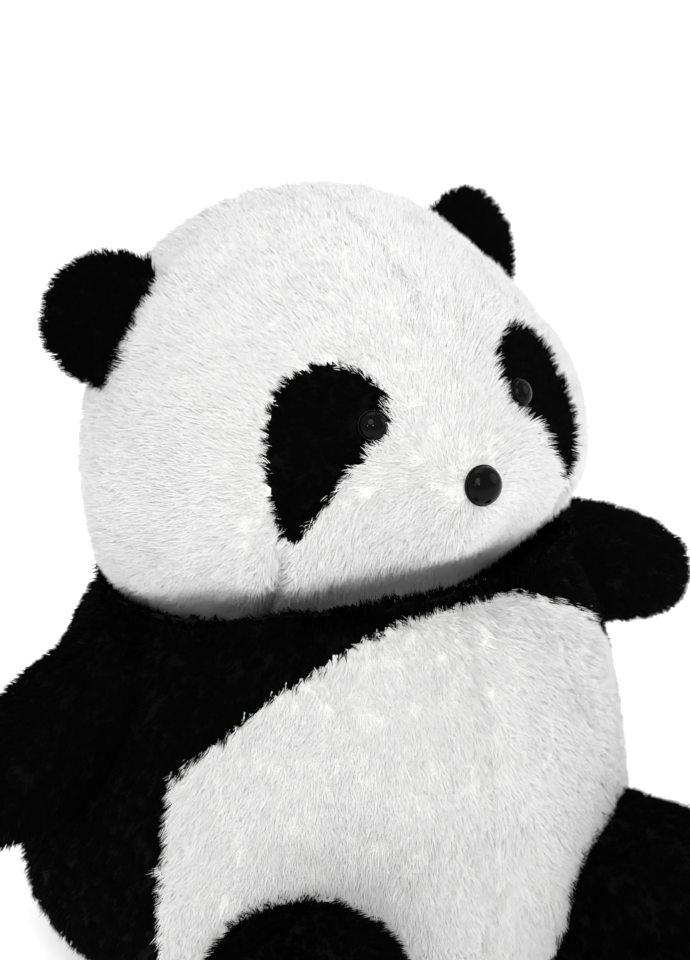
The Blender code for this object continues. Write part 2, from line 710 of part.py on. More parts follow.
def build_arm(assembly, word, form):
    shoulder, pivot = f"{word}_shoulder_pivot", f"{word}_arm_pivot"
    assembly.pivot(shoulder, form.pivot)
    assembly.pivot(pivot, form.pivot, shoulder)
    skin, filling = skin_and_filling(form, *LIMB_MESH)
    for panel, sign in (("front", -1), ("back", 1)):
        region = on_side(form, (0, 1, 0), sign)
        mesh = shaped(skin.copy(), *keep(region, beyond(form, 0.004)))
        assembly.piece(f"{word}_arm_{panel}_panel", mesh, "black_plush", pivot)
    ball = star_mesh(form, lambda world: np.full(len(world), TAPE_INNER - SOCKET_GAP), *LIMB_MESH)
    root = shaped(ball, *keep(before(form, 0.006)))
    filling = shaped(filling, *keep(beyond(form, 0.003)), ("UNION", root))
    assembly.piece(f"{word}_arm_stuffing", filling, "stuffing", pivot)
    outer = star_mesh(form, lambda world: np.full(len(world), TAPE_OUTER), *LIMB_MESH)
    inner = star_mesh(form, lambda world: np.full(len(world), TAPE_INNER), *LIMB_MESH)
    wide = cone_region(form.pivot, TAPE_ANGLES[1], 0.08, -form.along)
    narrow = cone_region(form.pivot, TAPE_ANGLES[0], 0.08, -form.along)
    tape = shaped(outer, *cut(inner), *keep(wide), *cut(narrow))
    assembly.piece(f"{word}_shoulder_tape", tape, "seam_tape", shoulder)


def build_leg(assembly, word, form):
    pivot = f"{word}_leg_pivot"
    assembly.pivot(pivot, form.pivot)
    outer = shaped(star_mesh(form, form.radius, *LIMB_MESH), *keep(before(form, LEG_SOLE)))
    hollow = star_mesh(form, lambda world: form.radius(world, SKIN), *LIMB_MESH)
    filling = star_mesh(form, lambda world: form.radius(world, SKIN + LINING_GAP), *LIMB_MESH)
    hollow = shaped(hollow, *keep(before(form, LEG_SOLE - SKIN)))
    filling = shaped(filling, *keep(before(form, LEG_SOLE - SKIN - LINING_GAP)))
    skin = shaped(outer, *cut(hollow))
    edge = LEG_SOLE - 2.5 * SKIN
    bar_radius = LEG_RADIUS * 0.60
    start = form.pivot + form.along * edge
    sole = shaped(skin.copy(), *keep(round_bar(start, form.along, bar_radius, 0.05, 28)))
    sleeve = shaped(skin, *cut(round_bar(start, form.along, bar_radius + SEAM_GAP, 0.05, 28)))
    for panel, sign in (("upper", 1), ("under", -1)):
        region = on_side(form, (0, 0, 1), sign)
        mesh = shaped(sleeve.copy(), *keep(region, beyond(form, 0.004)))
        assembly.piece(f"{word}_leg_{panel}_panel", mesh, "black_plush", pivot)
    assembly.piece(f"{word}_sole", sole, "black_plush", pivot)
    assembly.piece(f"{word}_leg_stuffing", filling, "stuffing", pivot)


def build_tail(assembly, form):
    assembly.pivot("tail_pivot", form.pivot)
    skin, filling = skin_and_filling(form, *EAR_MESH, 0.0025)
    for panel, sign in (("left", 1), ("right", -1)):
        region = on_side(form, (1, 0, 0), sign)
        mesh = shaped(skin.copy(), *keep(region, beyond(form, 0.004)))
        assembly.piece(f"tail_{panel}_panel", mesh, "white_plush", "tail_pivot")
    assembly.piece("tail_wadding", filling, "stuffing", "tail_pivot")


def main():
    clear_scene()
    assembly = Assembly()
    sides = {"left": 1, "right": -1}
    ears = {word: ear_form(side) for word, side in sides.items()}
    limbs = {word: (arm_form(side), leg_form(side)) for word, side in sides.items()}
    tail = tail_form()
    build_neck(assembly)
    build_head(assembly, ears)
    build_ears(assembly, ears)
    build_body(assembly, limbs, tail)
    for word, (arm, leg) in limbs.items():
        build_arm(assembly, word, arm)
        build_leg(assembly, word, leg)
    build_tail(assembly, tail)


main()
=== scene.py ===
# %% [markdown]
# A sitting plush panda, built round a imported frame.  The frame holds one solid for every sewn panel,
# button and joint of the toy, in metres, with +Z up and the panda facing -Y.  This lesson gives the toy
# its looks: stuffed forms with seams, a pile of real tapering hairs on every panel, and glossy buttons
# for the eyes and the nose.
#
# The frame is loaded first, because each piece made later rides on one of its bodies.

# %% Load the frame
import json
from math import cos, pi, radians, sin

import bpy
import numpy as np
from mathutils import Matrix


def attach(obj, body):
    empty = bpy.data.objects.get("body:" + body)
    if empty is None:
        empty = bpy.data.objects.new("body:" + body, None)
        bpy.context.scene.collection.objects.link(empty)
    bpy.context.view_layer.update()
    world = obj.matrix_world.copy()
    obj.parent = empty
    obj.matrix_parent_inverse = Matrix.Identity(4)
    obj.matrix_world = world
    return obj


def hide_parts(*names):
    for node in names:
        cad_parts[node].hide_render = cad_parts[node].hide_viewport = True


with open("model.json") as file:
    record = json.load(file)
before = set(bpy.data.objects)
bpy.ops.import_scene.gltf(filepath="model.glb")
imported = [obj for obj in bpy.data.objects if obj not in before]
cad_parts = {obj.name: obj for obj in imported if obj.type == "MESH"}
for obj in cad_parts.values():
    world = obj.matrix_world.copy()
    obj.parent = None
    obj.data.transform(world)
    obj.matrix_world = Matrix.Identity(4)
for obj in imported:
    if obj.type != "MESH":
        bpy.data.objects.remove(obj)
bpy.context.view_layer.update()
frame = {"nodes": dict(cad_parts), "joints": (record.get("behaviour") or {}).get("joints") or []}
JOINTS = {joint["name"]: joint for joint in frame["joints"]}
WORDS = {1: "left", -1: "right"}          # the panda's own sides, +X and -X
FLOOR_GAP = 0.0010                        # the least height of anything above the floor

# %% [markdown]
# A few vector helpers come first.  They all work on whole arrays of points, one row for each point, so
# that no loop ever walks over the vertices.


# %% Vector helpers
def unit(rows):
    """Each row divided by its own length."""
    rows = np.asarray(rows, float)
    return rows / np.maximum(np.linalg.norm(rows, axis=-1, keepdims=True), 1e-12)


def mirrored(vector, side):
    """The vector on the panda's left, side 1, or its mirror image on the right, side -1."""
    return np.array((side * vector[0], vector[1], vector[2]), float)


def turning(axis, angle):
    """Rodrigues' matrix: the turn by an angle about an axis."""
    x, y, z = unit(axis)
    skew = np.array(((0, -z, y), (z, 0, -x), (-y, x, 0)))
    return np.eye(3) + sin(angle) * skew + (1 - cos(angle)) * skew @ skew


def hinge(name):
    """A joint's place, its axis and its two limits in radians, as the frame's record gives them."""
    joint = JOINTS[name]
    return np.array(joint["pos_m"], float), np.array(joint["axis"], float), np.radians(joint["range_deg"])


# %% [markdown]
# Every stuffed form here is star shaped: from its pivot, each direction meets its surface once.  So a form
# is one function that gives a radius for each direction.  The head is an ellipsoid with smooth swellings
# for the jowls, the cheeks and the muzzle, and dips at the temples and the chin.

# %% The head's form
HEAD_CENTRE = hinge("head_nod")[0]
HEAD_HALF = np.array((0.1534, 0.1414, 0.1380))
SWELLINGS = (                             # middle, height in metres, spread in radians, mirrored
    ((0.80, 0.10, -0.55), 0.0293, 0.45, True),
    ((0.75, -0.60, -0.20), 0.0184, 0.40, True),
    ((0.65, -0.20, 0.70), -0.0132, 0.50, True),
    ((0.60, 0.50, 0.60), 0.0059, 0.50, True),
    ((0.0, -0.55, -0.80), -0.0075, 0.40, False),
    ((0.0, -1.0, -0.09), 0.0280, 0.33, False),
)


def head_radius(directions):
    """An ellipsoid's radius, plus a bell curve of the angle from the middle of each swelling."""
    radius = 1 / np.sqrt(((directions / HEAD_HALF) ** 2).sum(axis=1))
    for middle, height, spread, both in SWELLINGS:
        for side in (1, -1) if both else (1,):
            squared = 2 - 2 * directions @ unit(mirrored(middle, side))
            radius = radius + height * np.exp(-squared / spread ** 2)
    return radius


# %% [markdown]
# Arms, legs, ears and the tail are eggs: a long rounded reach on one side of the pivot and a short root
# on the other, which is buried in the fur of whatever the limb is sewn to.  When the limb turns, its root
# turns inside that fur, so nothing tears.


# %% Limb forms
class Egg:
    """Radius from (a / reach)^p + (c / half)^p = 1, with a along the limb and c across it."""

    def __init__(self, pivot, along, across, reach, root, halves, power, end=None):
        self.pivot = np.asarray(pivot, float)
        self.along = unit(along)
        across = np.asarray(across, float)
        self.across = unit(across - self.along * (across @ self.along))
        self.up = np.cross(self.along, self.across)
        self.reach, self.root, self.halves, self.power, self.end = reach, root, halves, power, end

    def points(self, ball, inset):
        """Points of the surface that lies inset below the form, for the directions of a ball."""
        slim = np.where(ball[:, 2:] > 0, max(self.halves) / self.reach, 1.0)
        local = unit(ball * np.hstack((slim, slim, np.ones_like(slim))))
        across = np.hypot(local[:, 0] / (self.halves[0] - inset), local[:, 1] / (self.halves[1] - inset))
        tipward = local[:, 2] > 0
        length = np.where(tipward, local[:, 2] / (self.reach - inset), -local[:, 2] / (self.root - inset))
        power = np.where(tipward, self.power, 2.0)
        local = local * ((length ** power + across ** power) ** (-1 / power))[:, None]
        if self.end:
            local[:, 2] = np.minimum(local[:, 2], self.end - inset)
        return self.pivot + local @ np.stack((self.across, self.up, self.along))


ARM_DROOP = {1: radians(18), -1: radians(30)}   # the left arm sits higher than the right one


def arm_form(side):
    along = mirrored((cos(ARM_DROOP[side]), 0, -sin(ARM_DROOP[side])), side)
    pivot = hinge(f"{WORDS[side]}_arm_raise")[0]
    return Egg(pivot, along, (0, 1, 0), 0.142, 0.034, (0.0415, 0.0415), 3.2)


def leg_form(side):
    splay = radians(20)
    along = mirrored((sin(splay), -cos(splay), 0), side)
    pivot = hinge(f"{WORDS[side]}_leg_lift")[0]
    return Egg(pivot, along, (0, 0, 1), 0.185, 0.045, (0.062, 0.062), 4.0, end=0.172)


def ear_form(side):
    along, base = mirrored((0.862, 0.391, 0.358), side), mirrored((-0.575, 0.070, 0.815), side)
    return Egg(hinge(f"{WORDS[side]}_ear_fold")[0], along, base, 0.050, 0.018, (0.042, 0.012), 2.4)


def tail_form():
    rise = radians(18)
    along = (0, cos(rise), sin(rise))
    return Egg(hinge("tail_lift")[0], along, (1, 0, 0), 0.048, 0.020, (0.026, 0.026), 2.4)


print("arm form reaches", np.round(arm_form(1).pivot + arm_form(1).along * arm_form(1).reach, 3))

# %% [markdown]
# The body is a pear: a superellipse profile turned round an oval, narrower at the shoulders, and flat
# where it sits.  Its top would run into the head, so each point there is pushed away from the head's
# centre to a bowl that leaves the head room to turn and nod.

# %% The body's form
BODY_WIDTH, BODY_DEPTH = 0.205, 0.194     # half sizes
WIDEST_Z, BODY_RISE, BODY_DROP = 0.090, 0.248, 0.097
BODY_POWER, BACK_POWER, SIDE_TAPER = 2.9, 2.1, 0.60
HEAD_CLEARANCE = 0.0045                   # between the head's reach and the bowl's wall
RIM_DROP, RIM_SPREAD = 0.005, 0.014
SIDE_SEAM, BACK_START = radians(64), radians(120)   # from the front, round the upright axis
YOKE_FRONT_Z, YOKE_SIDE_DROP, YOKE_POWER = 0.288, 0.101, 2.2


def heading_of(points):
    """The angle round the upright axis, 0 at the front and positive on the left."""
    return np.arctan2(points[:, 0], -points[:, 1])


def body_points(ball, inset):
    """The direction's height sets the place on the profile, and its heading the place on the oval."""
    level = np.clip(ball[:, 2], -1, 1)
    reach = np.where(level > 0, BODY_RISE, BODY_DROP) - inset
    behind = np.clip((np.abs(heading_of(ball)) - SIDE_SEAM) / (BACK_START - SIDE_SEAM), 0, 1)
    share = 2 / (BODY_POWER + (BACK_POWER - BODY_POWER) * behind * (level > 0))
    height = WIDEST_Z + np.sign(level) * reach * np.abs(level) ** share
    size = np.sqrt(np.maximum(0, 1 - level * level)) ** share
    flat = np.maximum(np.hypot(ball[:, 0], ball[:, 1]), 1e-9)
    taper = 1 - SIDE_TAPER * np.maximum(0, height - WIDEST_Z)
    across = (BODY_WIDTH - inset) * size * taper * ball[:, 0] / flat
    depth = (BODY_DEPTH - inset) * size * ball[:, 1] / flat
    return np.stack((across, depth, np.maximum(height, FLOOR_GAP)), axis=1)


def head_room(directions):
    """The largest radius that the head's form reaches in each direction over its range of motion."""
    turns, nods = (np.linspace(*hinge(name)[2], 5) for name in ("head_turn", "head_nod"))
    posed = [turning((0, 0, 1), turn) @ turning((1, 0, 0), nod) for turn in turns for nod in nods]
    return np.max([head_radius(directions @ turn) for turn in posed], axis=0) + HEAD_CLEARANCE


def below_head(points, inset):
    """Points inside the head's room move out along rays from its centre; a bell rounds the bowl's rim."""
    offset = points - HEAD_CENTRE
    distance = np.linalg.norm(offset, axis=1)
    wall = head_room(unit(offset)) + inset
    moved = HEAD_CENTRE + unit(offset) * np.maximum(distance, wall)[:, None]
    moved[:, 2] -= RIM_DROP * np.exp(-(((distance - wall) / RIM_SPREAD) ** 2))
    return moved


print("body form is", 2 * BODY_WIDTH, "by", 2 * BODY_DEPTH, "m across")

# %% [markdown]
# A stuffed toy is never as smooth as its formula.  Fibre filling packs unevenly, so slow waves move the
# cloth in and out by a millimetre or so.  Where two panels are sewn together, the stitches pull the cloth
# down into a narrow valley.

# %% Lumps and seam valleys
FORM_SEED = 571


def waves(points, length, seed, count=6):
    """A sum of plane waves of about that length in metres, with fixed random directions and phases."""
    rng = np.random.default_rng(seed)
    heading = unit(rng.normal(size=(count, 3))) * 2 * pi / (length * rng.uniform(0.7, 1.4, (count, 1)))
    phase = rng.uniform(0, 2 * pi, count)
    return np.sin(points @ heading.T + phase).sum(axis=1) / np.sqrt(count)


def valley(distance, width, depth):
    """A bell-shaped dip along a seam, from each point's distance to it."""
    return depth * np.exp(-((distance / width) ** 2))


def fade(value, start, stop):
    """A smooth step that is 0 at start and 1 at stop."""
    share = np.clip((value - start) / (stop - start), 0, 1)
    return share * share * (3 - 2 * share)


CHEEK_NORMAL, CHEEK_OFFSET = np.array((0.932, 0.361, 0.0)), 0.0555
EAR_LINE_Y = 0.045


def head_seams(points):
    """How deep the head's seams pull the cloth: the crown seam, the two cheek seams and the ear line."""
    local = points - HEAD_CENTRE
    front = fade(-local[:, 1], -0.02, 0.01)
    crown = valley(local[:, 0], 0.0034, 0.0034) * fade(local[:, 2], 0.045, 0.105)
    across = np.abs(local[:, 0]) * CHEEK_NORMAL[0] + local[:, 1] * CHEEK_NORMAL[1] - CHEEK_OFFSET
    cheek = valley(across, 0.0050, 0.0085) * fade(-local[:, 2], 0.028, 0.050) * front
    ears = valley(local[:, 1] - EAR_LINE_Y, 0.0035, 0.0018)
    return crown + cheek + ears


def body_seams(points):
    """The belly's centre seam and the two side seams, which run from the shoulders to the seat."""
    arc = np.abs(np.abs(heading_of(points)) - SIDE_SEAM) * BODY_WIDTH
    centre = valley(points[:, 0], 0.0035, 0.0034) * fade(points[:, 2], 0.02, 0.06)
    return centre + valley(arc, 0.0040, 0.0022)


# %% [markdown]
# A closed ball of directions is a grid of two parameters, the angle round the axis and the angle down
# from the pole, with one shared vertex at each pole.  The same grid carries every form: only the function
# that moves its points differs.


# %% Grids and normals
def ball_grid(columns, rows):
    """Directions (sin v cos u, sin v sin u, cos v) of a ball, and its triangles, wound outwards."""
    around = np.arange(columns) * 2 * pi / columns
    down = np.arange(1, rows) * pi / rows
    v, u = np.meshgrid(down, around, indexing="ij")
    ring = np.stack((np.sin(v) * np.cos(u), np.sin(v) * np.sin(u), np.cos(v)), axis=-1).reshape(-1, 3)
    ball = np.vstack((ring, (0, 0, 1), (0, 0, -1)))
    at = np.arange((rows - 1) * columns).reshape(rows - 1, columns)
    after = np.roll(at, -1, axis=1)
    top, bottom = len(ring), len(ring) + 1
    parts = (
        np.stack((at[:-1], at[1:], after[1:]), axis=-1),
        np.stack((at[:-1], after[1:], after[:-1]), axis=-1),
        np.stack((np.full(columns, top), at[0], after[0]), axis=-1),
        np.stack((np.full(columns, bottom), after[-1], at[-1]), axis=-1),
    )
    return ball, np.vstack([part.reshape(-1, 3) for part in parts])


def triangle_normals(points, triangles):
    """Each triangle's cross product: its direction is the normal and its length twice the area."""
    a, b, c = (points[triangles[:, k]] for k in range(3))
    return np.cross(b - a, c - a)


def point_normals(points, triangles):
    """The sum of the cross products of the triangles round each point, made one unit long."""
    normals = np.zeros_like(points)
    for corner in range(3):
        np.add.at(normals, triangles[:, corner], triangle_normals(points, triangles))
    return unit(normals)


class Cloth:
    """The knitted ground of a stuffed form: its points, its triangles and its outward normals."""

    def __init__(self, points, triangles):
        self.points, self.triangles = points, triangles
        self.normals = point_normals(points, triangles)

    def sunk(self, depth):
        """The same cloth with its points moved in by their own depth, as seams and lumps do."""
        return Cloth(self.points - self.normals * np.reshape(depth, (-1, 1)), self.triangles)


# %% [markdown]
# A mesh goes into Blender in bulk: foreach_set copies whole arrays, which takes a fraction of the time
# of adding vertices one by one.  Hairs also bring their own normals, so that light falls on the coat as
# on one soft surface, and not on thousands of separate spikes.


# %% Put arrays into a mesh
def made_object(name, points, triangles, finish, body, normals=None, strand_map=None):
    """A smooth mesh object that wears a finish and rides on a body of the frame."""
    mesh = bpy.data.meshes.new(name)
    mesh.vertices.add(len(points))
    mesh.vertices.foreach_set("co", np.ascontiguousarray(points, np.float32).ravel())
    mesh.loops.add(triangles.size)
    mesh.loops.foreach_set("vertex_index", np.ascontiguousarray(triangles, np.int32).ravel())
    mesh.polygons.add(len(triangles))
    mesh.polygons.foreach_set("loop_start", np.arange(0, triangles.size, 3, dtype=np.int32))
    mesh.polygons.foreach_set("use_smooth", np.ones(len(triangles), bool))
    mesh.update(calc_edges=True)
    if strand_map is not None:
        layer = mesh.uv_layers.new(name="OFBake", do_init=False)
        layer.uv.foreach_set("vector", np.ascontiguousarray(strand_map, np.float32).ravel())
    if normals is not None:
        own = mesh.attributes.new("custom_normal", "FLOAT_VECTOR", "POINT")
        own.data.foreach_set("vector", np.ascontiguousarray(normals, np.float32).ravel())
    mesh.materials.append(FINISHES[finish])
    made = bpy.data.objects.new(name, mesh)
    bpy.context.scene.collection.objects.link(made)
    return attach(made, body)


# %% [markdown]
# Materials are node trees.  Writing them by hand is slow to read, so a small class wraps a socket and
# lets ordinary Python sums and products stand for Math nodes.  Any other node comes from one method.


# %% Shader helpers
class Value:
    """A number that varies over the surface; arithmetic on it adds Math nodes."""

    def __init__(self, tree, socket):
        self.tree, self.socket = tree, socket

    def joined(self, operation, *others):
        node = self.tree.nodes.new("ShaderNodeMath")
        node.operation = operation
        for socket, value in zip(node.inputs, others):
            plug(self.tree, socket, value)
        return Value(self.tree, node.outputs[0])

    def __add__(self, other):
        return self.joined("ADD", self, other)

    def __mul__(self, other):
        return self.joined("MULTIPLY", self, other)

    def __pow__(self, other):
        return self.joined("POWER", self, other)

    __radd__, __rmul__ = __add__, __mul__     # a plain number may also stand on the left


def plug(tree, socket, value):
    """Links a wrapped socket, or sets a plain number, colour or vector."""
    if isinstance(value, Value):
        tree.links.new(value.socket, socket)
    else:
        socket.default_value = value


class Finish:
    """A material with a Principled shader, built from named sockets."""

    def __init__(self, name, **plain):
        self.material = bpy.data.materials.new(name)
        self.material.use_nodes = True
        self.tree = self.material.node_tree
        self.shader = self.tree.nodes["Principled BSDF"]
        self.set(**plain)

    def set(self, **values):
        for name, value in values.items():
            plug(self.tree, self.shader.inputs[name.replace("_", " ")], value)

    def node(self, kind, out=0, settings=(), stops=None, **values):
        """Any node: its settings and ramp stops are set first, and then its sockets by name."""
        node = self.tree.nodes.new("ShaderNode" + kind)
        for name, value in dict(settings).items():
            setattr(node, name, value)
        if stops:
            ramp = node.color_ramp.elements
            while len(ramp) < len(stops):
                ramp.new(0.5)
            for element, (place, colour) in zip(ramp, stops):
                element.position, element.color = place, (*colour, 1)
        for name, value in values.items():
            key = int(name[1:]) if name[1:].isdigit() else name.replace("_", " ")
            plug(self.tree, node.inputs[key], value)
        return Value(self.tree, node.outputs[out])

    def place(self):
        """The surface point in the object's own coordinates."""
        return self.node("TexCoord", out=3)


# %% [markdown]
# The coat's colour follows each hair.  Its UV map holds the hair's own tone across and the way from root
# to tip upwards, so a shadowed, faintly warm root and a clean tip take one ramp, and a second ramp tints
# tuft against tuft.  The black coat is the same with black fibre, which is never quite zero.


# %% Coat finishes
def coat(name, root, middle, tip, tones, roughness, sheen, specular):
    """Hair colour = ramp of the way along the hair x ramp of the hair's own tone."""
    finish = Finish(name, Roughness=roughness, Sheen_Weight=sheen, Sheen_Roughness=0.5,
                    Specular_IOR_Level=specular)
    map_value = finish.node("UVMap", settings={"uv_map": "OFBake"})
    across = finish.node("SeparateXYZ", Vector=map_value)
    along = Value(finish.tree, across.socket.node.outputs[1])
    fibre = finish.node("ValToRGB", stops=((0.0, root), (0.45, middle), (1.0, tip)), Fac=along)
    tone = finish.node("ValToRGB", stops=((0.0, tones[0]), (0.5, tones[1]), (1.0, tones[2])), Fac=across)
    mixed = finish.node(
        "Mix", out=2, settings={"data_type": "RGBA", "blend_type": "MULTIPLY"}, _0=1.0, _6=fibre, _7=tone,
    )
    finish.set(Base_Color=mixed)
    return finish.material


FINISHES = {
    "white_plush": coat(
        "white coat", (0.88, 0.878, 0.87), (0.94, 0.94, 0.937), (0.965, 0.965, 0.965),
        ((0.975, 0.975, 0.972), (0.99, 0.99, 0.99), (1.0, 1.0, 1.0)), 0.85, 0.10, 0.10,
    ),
    "black_plush": coat(
        "black coat", (0.0003, 0.0003, 0.0004), (0.0006, 0.0006, 0.0007), (0.0014, 0.0014, 0.0015),
        ((0.6, 0.6, 0.6), (0.8, 0.8, 0.8), (1.0, 1.0, 1.0)), 0.80, 0.0, 0.04,
    ),
}

# %% [markdown]
# Under the pile lies knitted backing cloth.  It shows only where the pile parts, so a fine knit in bump,
# with painted shade in its hollows, is enough.  The stuffing, washers, pellet bag and shoulder tapes are
# inside the toy, but each gets its own finish, because a cut-open view or a repaint may show them.


# %% Ground cloth and inner finishes
def mottled(name, dark, light, scale, roughness, bump, depth=0.0004):
    """Noise between two colours, with the same kind of noise, finer, as relief."""
    finish = Finish(name, Roughness=roughness)
    place = finish.place()
    grain = finish.node("TexNoise", Vector=place, Scale=scale, Detail=4.0)
    relief = finish.node("TexNoise", Vector=place, Scale=scale * 6, Detail=3.0)
    finish.set(
        Base_Color=finish.node("ValToRGB", stops=((0.3, dark), (0.7, light)), Fac=grain),
        Normal=finish.node("Bump", Strength=bump, Distance=depth, Height=relief),
    )
    return finish.material


def knitted(name, dark, light, pitch=0.0016, depth=0.0003):
    """Rows of knit as the product of two waves across each other, with painted shade in their hollows."""
    finish = Finish(name, Roughness=0.92, Specular_IOR_Level=0.10)
    place = finish.place()
    rows = [
        finish.node(
            "TexWave", out=1, settings={"bands_direction": axis}, Vector=place, Scale=0.314 / pitch,
            Distortion=1.5, Detail=1.0,
        )
        for axis in ("X", "Z")
    ]
    loops = rows[0] * rows[1]
    # Painted shade: the colour follows the knit's relief and is darker in its hollows; the bump gives the
    # relief itself.
    finish.set(
        Base_Color=finish.node("ValToRGB", stops=((0.0, dark), (0.8, light)), Fac=loops),
        Normal=finish.node("Bump", Strength=0.5, Distance=depth, Height=loops),
    )
    return finish.material


# The ground cloths, the pellet bag and the shoulder tape all carry painted shade in the hollows of their
# knit.
GROUND = {
    "white_plush": knitted("white ground cloth", (0.80, 0.798, 0.79), (0.90, 0.90, 0.895)),
    "black_plush": knitted("black ground cloth", (0.0006, 0.0006, 0.0007), (0.0014, 0.0014, 0.0016)),
}
FINISHES["stuffing"] = mottled(
    "fibre filling", (0.70, 0.69, 0.66), (0.84, 0.83, 0.80), scale=60, roughness=0.98, bump=0.9,
    depth=0.003,
)
FINISHES["pellet_cloth"] = knitted("pellet bag cloth", (0.36, 0.33, 0.28), (0.56, 0.52, 0.45))
FINISHES["seam_tape"] = knitted("shoulder tape", (0.10, 0.10, 0.11), (0.22, 0.22, 0.23), pitch=0.0008)
FINISHES["washer_plastic"] = mottled(
    "washer plastic", (0.70, 0.70, 0.68), (0.80, 0.80, 0.78), scale=40, roughness=0.45, bump=0.1,
)

# %% [markdown]
# The eyes and the nose are moulded plastic with a deep gloss.  Handling leaves fine scuffs, so noise
# nudges the roughness, and a very shallow bump keeps the reflections from being perfect.


# %% Button plastic
def button_plastic():
    """Black, with roughness = 0.05 + 0.10 x scuff noise squared."""
    finish = Finish("black button plastic", Specular_IOR_Level=0.08)
    place = finish.place()
    scuffs = finish.node("TexNoise", Vector=place, Scale=900.0, Detail=5.0, Roughness=0.7)
    ripple = finish.node("TexNoise", Vector=place, Scale=160.0, Detail=2.0)
    darkest, worn = (0.0010, 0.0010, 0.0011), (0.0025, 0.0025, 0.0028)
    finish.set(
        Base_Color=finish.node("ValToRGB", stops=((0.3, darkest), (0.8, worn)), Fac=scuffs),
        Roughness=0.05 + 0.10 * scuffs ** 2,
        Normal=finish.node("Bump", Strength=0.15, Distance=0.0002, Height=ripple),
    )
    return finish.material


FINISHES["black_gloss_plastic"] = button_plastic()
INNER = {"washer": "washer_plastic", "bag": "pellet_cloth", "tape": "seam_tape", "stuffing": "stuffing"}
for node_name, node in frame["nodes"].items():
    inner_finish = INNER.get(node_name.split("_")[-1])
    if inner_finish:
        node.data.materials.clear()
        node.data.materials.append(FINISHES[inner_finish])
print("finishes:", ", ".join(FINISHES))

# %% [markdown]
# The pile itself.  Plush fibres stand in tufts that lean with the nap, so the function scatters tufts over
# the cloth by area, gives each a lean and a length of its own, and sets several hairs round its middle
# whose tips draw together.  A hair is a three-sided spike: three triangles, closed from every side, with
# its foot buried in the ground cloth.

# %% Grow the pile
DENSITY_SHARE = 1.0
HAIRS_PER_TUFT = 8
SWIRL_LENGTH, SWIRL_SLOW, SWIRL_TUFT = 0.045, 0.20, 0.30    # metres, and radians either way
LEAN_LENGTH, LEAN_SLOW, LEAN_TUFT = 0.025, 0.05, 0.06
LEAN_LIMITS = (0.1, 1.35)
REACH_LENGTH, REACH_SLOW, REACH_TUFT, REACH_HAIR = 0.025, 0.04, 0.06, 0.10
TONE_LENGTH, TONE_SLOW, TONE_TUFT, TONE_HAIR = 0.035, 0.16, 0.14, 0.08
HAIR_JITTER, NORMAL_JITTER, NORMAL_ROUNDING = 0.10, 0.3, 0.12
STRAND_HALF = 0.003                       # half of a hair's width in its map


